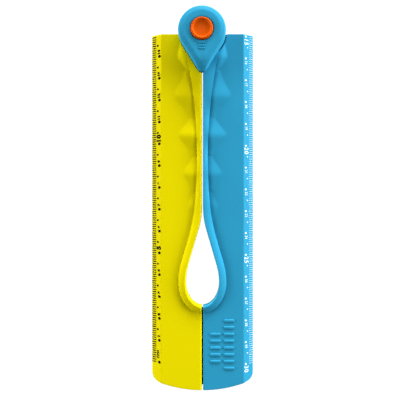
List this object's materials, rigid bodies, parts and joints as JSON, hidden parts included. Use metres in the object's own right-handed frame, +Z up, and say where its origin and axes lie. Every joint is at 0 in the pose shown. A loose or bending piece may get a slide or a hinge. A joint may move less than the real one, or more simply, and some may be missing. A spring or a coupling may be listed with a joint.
{
  "type": "folding ruler",
  "caption": "Flat folding ruler in two halves, side by side when closed, with a push-button hinge, finger waves and a teardrop hanging loop.",
  "frame": {"origin": "on the hinge axis, on the flat underside that the ruler lies on", "axes": "+Y along the closed ruler towards the hinge, +X from the yellow half to the blue half, +Z up out of the printed face"},
  "size_m": [0.0466, 0.1735, 0.0105],
  "materials": {
    "yellow_plastic": "satin moulded plastic",
    "blue_plastic": "satin moulded plastic",
    "orange_plastic": "satin moulded plastic",
    "black_plastic": "matt moulded plastic",
    "white_plastic": "plain nylon",
    "spring_steel": "plain spring steel",
    "plated_steel": "bright zinc plate"
  },
  "bodies": {
    "yellow_arm": {"yellow_half": "yellow_plastic", "seam_tongue": "black_plastic", "hinge_screw": "plated_steel", "detent_plate": "plated_steel", "glide_washer": "white_plastic"},
    "blue_arm": {"blue_half": "blue_plastic", "head_cover": "blue_plastic", "click_spring": "spring_steel", "return_spring": "spring_steel"},
    "button": {"button": "orange_plastic"}
  },
  "joints": [
    {"name": "fold", "type": "hinge", "parent": "yellow_arm", "child": "blue_arm", "pos_m": [0, 0, 0], "axis": [0, 0, 1], "range_deg": [0, 180], "deforming": ["click_spring"]},
    {"name": "button_press", "type": "slide", "parent": "blue_arm", "child": "button", "axis": [0, 0, -1], "range_m": [0, 0.0013], "stiffness_N_per_m": 1500, "springref_m": -0.001, "deforming": ["return_spring", "click_spring"]}
  ]
}
